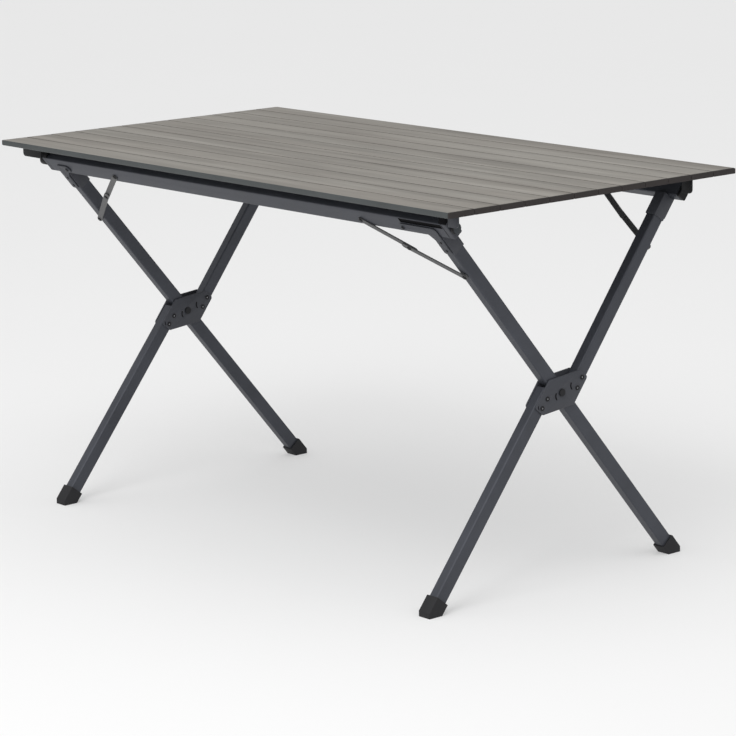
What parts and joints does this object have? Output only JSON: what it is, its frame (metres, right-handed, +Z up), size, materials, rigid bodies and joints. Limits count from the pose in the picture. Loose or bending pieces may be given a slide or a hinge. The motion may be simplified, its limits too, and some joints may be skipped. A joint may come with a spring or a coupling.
{
  "type": "folding table",
  "caption": "Folding camp table with a wood-look aluminium slat top that rolls up and a dark scissor frame with rubber feet",
  "frame": {"origin": "on the floor under the middle of the top", "axes": "+X along the table to the right seen from the front, +Y to the rear, +Z up"},
  "size_m": [1.2534, 0.674, 0.7],
  "materials": {
    "top_slats": "satin wood-look film",
    "frame_tubes": "satin anthracite",
    "hub_plates": "matt anthracite",
    "stay_links": "satin dark grey",
    "steel_bolts": "dark zinc",
    "black_plastic": "matt black",
    "rubber_feet": "matt black"
  },
  "bodies": {
    "front_frame": {"front_rail": "frame_tubes", "front_rail_casting_left": "frame_tubes", "front_rail_casting_right": "frame_tubes", "end_knob_left": "black_plastic", "end_knob_right": "black_plastic", "front_leg_socket_left": "hub_plates", "front_leg_socket_right": "hub_plates", "front_hinge_plate_left": "hub_plates", "front_hinge_plate_right": "hub_plates", "front_stay_rail_link_left": "stay_links", "front_stay_rail_link_right": "stay_links", "front_stay_leg_link_left": "stay_links", "front_stay_leg_link_right": "stay_links", "front_rail_leg_left": "frame_tubes", "front_rail_leg_right": "frame_tubes", "rear_foot_left": "rubber_feet", "rear_foot_right": "rubber_feet", "hub_bolt_left": "steel_bolts", "hub_bolt_right": "steel_bolts"},
    "rear_frame": {"rear_rail": "frame_tubes", "rear_rail_cap_left": "black_plastic", "rear_rail_cap_right": "black_plastic", "rear_leg_socket_left": "hub_plates", "rear_leg_socket_right": "hub_plates", "rear_hinge_plate_left": "hub_plates", "rear_hinge_plate_right": "hub_plates", "rear_stay_rail_link_left": "stay_links", "rear_stay_rail_link_right": "stay_links", "rear_stay_leg_link_left": "stay_links", "rear_stay_leg_link_right": "stay_links", "rear_rail_leg_upper_left": "frame_tubes", "rear_rail_leg_upper_right": "frame_tubes", "rear_rail_leg_lower_left": "frame_tubes", "rear_rail_leg_lower_right": "frame_tubes", "front_foot_left": "rubber_feet", "front_foot_right": "rubber_feet", "hub_plate_outer_left": "hub_plates", "hub_plate_outer_right": "hub_plates", "hub_plate_inner_left": "hub_plates", "hub_plate_inner_right": "hub_plates"},
    "top_12": {"slat_12": "top_slats", "top_seat_rear_left": "black_plastic", "top_seat_rear_right": "black_plastic"},
    "top_11": {"slat_11": "top_slats", "top_hook_rear_left": "black_plastic", "top_hook_rear_right": "black_plastic"},
    "top_10": {"slat_10": "top_slats"},
    "top_09": {"slat_09": "top_slats"},
    "top_08": {"slat_08": "top_slats"},
    "top_07": {"slat_07": "top_slats"},
    "top_06": {"slat_06": "top_slats"},
    "top_05": {"slat_05": "top_slats"},
    "top_04": {"slat_04": "top_slats"},
    "top_03": {"slat_03": "top_slats"},
    "top_02": {"slat_02": "top_slats"},
    "top_01": {"slat_01": "top_slats", "top_hook_front_left": "black_plastic", "top_hook_front_right": "black_plastic"}
  },
  "joints": [
    {"name": "scissor_fold", "type": "hinge", "parent": "front_frame", "child": "rear_frame", "pos_m": [0, 0.0042, 0.3393], "axis": [1, 0, 0], "range_deg": [0, 76.5]},
    {"name": "top_lift", "type": "slide", "parent": "front_frame", "child": "top_12", "axis": [0, 0, 1], "range_m": [0, 0.42]},
    {"name": "top_roll_11", "type": "hinge", "parent": "top_12", "child": "top_11", "pos_m": [0, 0.281, 0.7], "axis": [-1, 0, 0], "range_deg": [0, 32]},
    {"name": "top_roll_10", "type": "hinge", "parent": "top_11", "child": "top_10", "pos_m": [0, 0.2248, 0.7], "axis": [-1, 0, 0], "range_deg": [0, 32]},
    {"name": "top_roll_09", "type": "hinge", "parent": "top_10", "child": "top_09", "pos_m": [0, 0.1686, 0.7], "axis": [-1, 0, 0], "range_deg": [0, 32]},
    {"name": "top_roll_08", "type": "hinge", "parent": "top_09", "child": "top_08", "pos_m": [0, 0.1124, 0.7], "axis": [-1, 0, 0], "range_deg": [0, 32]},
    {"name": "top_roll_07", "type": "hinge", "parent": "top_08", "child": "top_07", "pos_m": [0, 0.0562, 0.7], "axis": [-1, 0, 0], "range_deg": [0, 32]},
    {"name": "top_roll_06", "type": "hinge", "parent": "top_07", "child": "top_06", "pos_m": [0, 0, 0.7], "axis": [-1, 0, 0], "range_deg": [0, 32]},
    {"name": "top_roll_05", "type": "hinge", "parent": "top_06", "child": "top_05", "pos_m": [0, -0.0562, 0.7], "axis": [-1, 0, 0], "range_deg": [0, 32]},
    {"name": "top_roll_04", "type": "hinge", "parent": "top_05", "child": "top_04", "pos_m": [0, -0.1124, 0.7], "axis": [-1, 0, 0], "range_deg": [0, 50]},
    {"name": "top_roll_03", "type": "hinge", "parent": "top_04", "child": "top_03", "pos_m": [0, -0.1686, 0.7], "axis": [-1, 0, 0], "range_deg": [0, 70]},
    {"name": "top_roll_02", "type": "hinge", "parent": "top_03", "child": "top_02", "pos_m": [0, -0.2248, 0.7], "axis": [-1, 0, 0], "range_deg": [0, 90]},
    {"name": "top_roll_01", "type": "hinge", "parent": "top_02", "child": "top_01", "pos_m": [0, -0.281, 0.7], "axis": [-1, 0, 0], "range_deg": [0, 90]}
  ],
  "couplings": [
    {"joint": "top_lift", "follows": "scissor_fold", "m_per_rad": 0.31},
    {"joint": "top_roll_10", "follows": "top_roll_11", "ratio": 1},
    {"joint": "top_roll_09", "follows": "top_roll_11", "ratio": 1},
    {"joint": "top_roll_08", "follows": "top_roll_11", "ratio": 1},
    {"joint": "top_roll_07", "follows": "top_roll_11", "ratio": 1},
    {"joint": "top_roll_06", "follows": "top_roll_11", "ratio": 1},
    {"joint": "top_roll_05", "follows": "top_roll_11", "ratio": 1},
    {"joint": "top_roll_04", "follows": "top_roll_11", "ratio": 1.5625},
    {"joint": "top_roll_03", "follows": "top_roll_11", "ratio": 2.1875},
    {"joint": "top_roll_02", "follows": "top_roll_11", "ratio": 2.8125},
    {"joint": "top_roll_01", "follows": "top_roll_11", "ratio": 2.8125}
  ]
}
